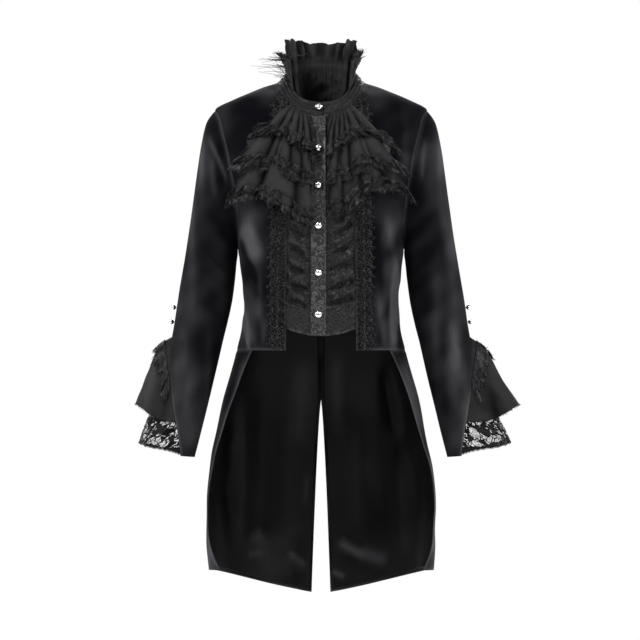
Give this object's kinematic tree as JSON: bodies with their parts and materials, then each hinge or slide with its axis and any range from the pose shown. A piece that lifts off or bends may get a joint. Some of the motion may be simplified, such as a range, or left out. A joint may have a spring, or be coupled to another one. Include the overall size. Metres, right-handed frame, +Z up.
{
  "type": "stand-collar tailcoat",
  "caption": "Hollow filled-out tailcoat with a frilled stand collar, gathered jabot, ruched waistcoat front, slit sleeves with flounces and two long tails.",
  "frame": {"origin": "middle of the neck, at the height where the shoulder seams meet the collar", "axes": "+Z up, -Y towards the front of the coat, +X towards the viewer's right as it is seen from the front"},
  "size_m": [0.682, 0.2863, 0.9957],
  "materials": {
    "velvet": "near-black silk velvet with a cool grey sheen",
    "satin": "black satin lining with soft highlights",
    "chiffon": "matte charcoal-black gathered chiffon",
    "lace": "black openwork lace",
    "brocade": "black on black scrolled brocade",
    "silver": "polished silver-coloured metal"
  },
  "bodies": {
    "root": {"front_l": "velvet", "front_r": "velvet", "back_l": "velvet", "back_r": "velvet", "tail_l": "velvet", "tail_r": "velvet", "sleeve_front_l": "velvet", "sleeve_front_r": "velvet", "sleeve_back_l": "velvet", "sleeve_back_r": "velvet", "tail_lining_l": "satin", "tail_lining_r": "satin", "vest_l": "brocade", "vest_r": "brocade", "braid_l": "lace", "braid_r": "lace", "cuff_flounce_l": "chiffon", "cuff_flounce_r": "chiffon", "cuff_ruffle_l": "lace", "cuff_ruffle_r": "lace", "cuff_lace_l": "lace", "cuff_lace_r": "lace", "jabot_low_l": "chiffon", "jabot_low_r": "chiffon", "jabot_mid_l": "chiffon", "jabot_mid_r": "chiffon", "jabot_top_l": "chiffon", "jabot_top_r": "chiffon", "placket": "brocade", "neckband": "brocade", "collar_frill": "chiffon", "collar_ruffle": "chiffon", "button_1": "silver", "button_2": "silver", "button_3": "silver", "button_4": "silver", "button_5": "silver", "button_6": "silver", "cuff_button_l1": "silver", "cuff_button_l2": "silver", "cuff_button_r1": "silver", "cuff_button_r2": "silver"}
  },
  "joints": []
}
